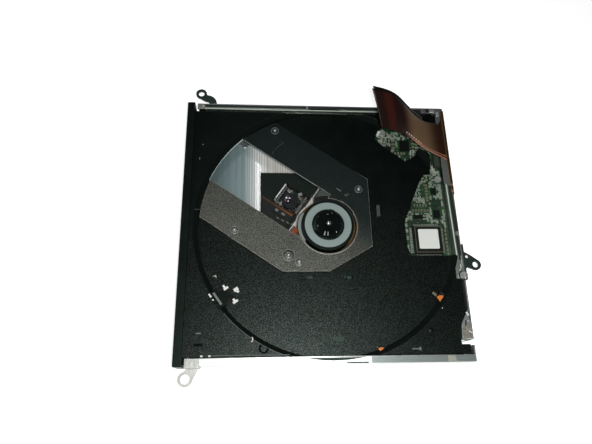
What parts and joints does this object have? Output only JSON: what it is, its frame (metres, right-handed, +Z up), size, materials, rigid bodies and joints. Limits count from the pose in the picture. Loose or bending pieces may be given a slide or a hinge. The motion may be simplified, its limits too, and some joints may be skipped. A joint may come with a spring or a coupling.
{
  "type": "internal dvd writer",
  "caption": "Slim tray-loading disc writer with its top cover off: steel pan, black tray with disc well, spindle hub, pickup in a slanting slot, board, ribbon and mounting ears.",
  "frame": {"origin": "on the spindle axis, at the underside of the steel pan", "axes": "+X towards the rear connector end (the tray comes out along -X), +Y towards the long mounting ear's side, +Z up out of the open top"},
  "size_m": [0.1429, 0.1483, 0.0291],
  "materials": {
    "case_steel": "galvanised pressed steel",
    "guide_plastic": "moulded black plastic",
    "rail_steel": "pressed steel",
    "board_green": "solder mask",
    "chip_grey": "moulded chip body",
    "lead_tin": "tinned",
    "label_white": "paper label",
    "chip_black": "moulded chip bodies",
    "ceramic": "ceramic",
    "resistor": "ceramic",
    "socket_plastic": "moulded socket",
    "ribbon_brown": "laminated flexible circuit",
    "ribbon_dark": "laminated backing",
    "flex_orange": "polyimide film",
    "ear_black": "black coated steel",
    "ear_bright": "zinc plated steel",
    "fastener": "zinc plated",
    "foam": "foam pad",
    "tray_plastic": "moulded, fine grain",
    "bezel_plastic": "moulded, fine grain",
    "clip_plastic": "moulded",
    "button_plastic": "moulded",
    "lamp_clear": "clear moulded",
    "switch_plastic": "moulded",
    "plate_nickel": "plated, fine grain",
    "frame_cast": "die cast",
    "shield_bright": "bright rolled sheet",
    "shaft_steel": "ground",
    "motor_can": "plated",
    "rubber": "soft",
    "stator": "enamelled wire on steel",
    "turntable_metal": "plated",
    "pad_rubber": "blue-grey rubber ring",
    "hub_black": "moulded",
    "claw_black": "moulded",
    "pickup_cast": "die cast",
    "cover_dark": "black coated sheet",
    "yoke": "plated",
    "magnet": "plated magnet",
    "lens_mould": "moulded",
    "lens": "coated lens",
    "nut_plastic": "acetal",
    "lever_plastic": "moulded"
  },
  "bodies": {
    "case": {"bottom_case": "case_steel", "rail_guide_near": "guide_plastic", "rail_guide_far": "guide_plastic", "main_board": "board_green", "controller_chip": "chip_grey", "chip_leads": "lead_tin", "chip_label": "label_white", "board_chips": "chip_black", "board_capacitors": "ceramic", "board_resistors": "resistor", "board_sockets": "socket_plastic", "host_ribbon": "ribbon_brown", "ribbon_backing": "ribbon_dark", "tray_flex": "flex_orange", "ear_far_front": "ear_black", "ear_near_front": "ear_bright", "ear_rear": "ear_black", "case_fasteners": "fastener", "corner_pad": "foam"},
    "rail_near": {"slide_rail_near": "rail_steel"},
    "rail_far": {"slide_rail_far": "rail_steel"},
    "tray": {"tray": "tray_plastic", "front_bezel": "bezel_plastic", "disc_clip": "clip_plastic", "button_board": "board_green", "push_switch": "switch_plastic", "lamp_lens": "lamp_clear", "traverse_plate": "plate_nickel", "traverse_frame": "frame_cast", "bottom_shield": "shield_bright", "guide_shafts": "shaft_steel", "sled_motor": "motor_can", "damper_bushes": "rubber", "shoulder_screws": "fastener", "spindle_stator": "stator", "motor_flex": "flex_orange", "latch_solenoid": "motor_can", "latch_spring": "shaft_steel", "eject_pusher": "nut_plastic", "pusher_spring": "shaft_steel"},
    "button": {"eject_button": "button_plastic", "switch_plunger": "button_plastic"},
    "latch": {"latch_lever": "lever_plastic"},
    "latch_core": {"solenoid_plunger": "shaft_steel"},
    "spindle": {"spindle_rotor": "turntable_metal", "spindle_shaft": "shaft_steel", "turntable_pad": "pad_rubber", "hub_cap": "hub_black"},
    "claw_1": {"hub_claw_1": "claw_black"},
    "claw_2": {"hub_claw_2": "claw_black"},
    "claw_3": {"hub_claw_3": "claw_black"},
    "pickup": {"pickup_body": "pickup_cast", "pickup_cover": "cover_dark", "pickup_flex": "flex_orange", "actuator_yoke": "yoke", "actuator_magnets": "magnet", "lead_nut": "nut_plastic"},
    "lens_carrier": {"lens_holder": "lens_mould", "objective_lens": "lens"},
    "lead_screw": {"lead_screw": "shaft_steel"}
  },
  "joints": [
    {"name": "tray_slide", "type": "slide", "parent": "case", "child": "tray", "axis": [-1, 0, 0], "range_m": [0, 0.125], "deforming": ["tray_flex"]},
    {"name": "rail_near_slide", "type": "slide", "parent": "case", "child": "rail_near", "axis": [-1, 0, 0], "range_m": [0, 0.0625]},
    {"name": "rail_far_slide", "type": "slide", "parent": "case", "child": "rail_far", "axis": [-1, 0, 0], "range_m": [0, 0.0625]},
    {"name": "eject_button_press", "type": "slide", "parent": "tray", "child": "button", "axis": [1, 0, 0], "range_m": [0, 0.0006], "stiffness_N_per_m": 800, "springref_m": -0.0003},
    {"name": "latch_pivot", "type": "hinge", "parent": "tray", "child": "latch", "pos_m": [-0.044, -0.0464, 0.0037], "axis": [0, 0, 1], "range_deg": [0, 18]},
    {"name": "latch_core_slide", "type": "slide", "parent": "tray", "child": "latch_core", "axis": [-1, 0, 0], "range_m": [0, 0.00128]},
    {"name": "spindle_spin", "type": "hinge", "parent": "tray", "child": "spindle", "pos_m": [0, 0, 0.0094], "axis": [0, 0, 1], "continuous": true},
    {"name": "pickup_slide", "type": "slide", "parent": "tray", "child": "pickup", "axis": [-0.8241, 0.5664, 0], "range_m": [0, 0.034]},
    {"name": "lead_screw_spin", "type": "hinge", "parent": "tray", "child": "lead_screw", "pos_m": [-0.03753, -0.00163, 0.0042], "axis": [0.8241, -0.5664, 0], "range_deg": [0, 4100]},
    {"name": "lens_focus", "type": "slide", "parent": "pickup", "child": "lens_carrier", "axis": [0, 0, 1], "range_m": [-0.0004, 0.0004], "stiffness_N_per_m": 60},
    {"name": "hub_claw_1_press", "type": "slide", "parent": "spindle", "child": "claw_1", "axis": [-0.2588, -0.9659, 0], "range_m": [0, 0.0005], "stiffness_N_per_m": 400, "springref_m": -0.0005},
    {"name": "hub_claw_2_press", "type": "slide", "parent": "spindle", "child": "claw_2", "axis": [0.9659, 0.2588, 0], "range_m": [0, 0.0005], "stiffness_N_per_m": 400, "springref_m": -0.0005},
    {"name": "hub_claw_3_press", "type": "slide", "parent": "spindle", "child": "claw_3", "axis": [-0.7071, 0.7071, 0], "range_m": [0, 0.0005], "stiffness_N_per_m": 400, "springref_m": -0.0005}
  ],
  "couplings": [
    {"joint": "rail_near_slide", "follows": "tray_slide", "ratio": 0.5},
    {"joint": "rail_far_slide", "follows": "tray_slide", "ratio": 0.5},
    {"joint": "latch_pivot", "follows": "latch_core_slide", "rad_per_m": 243.9},
    {"joint": "lead_screw_spin", "follows": "pickup_slide", "rad_per_m": 2094.4}
  ]
}
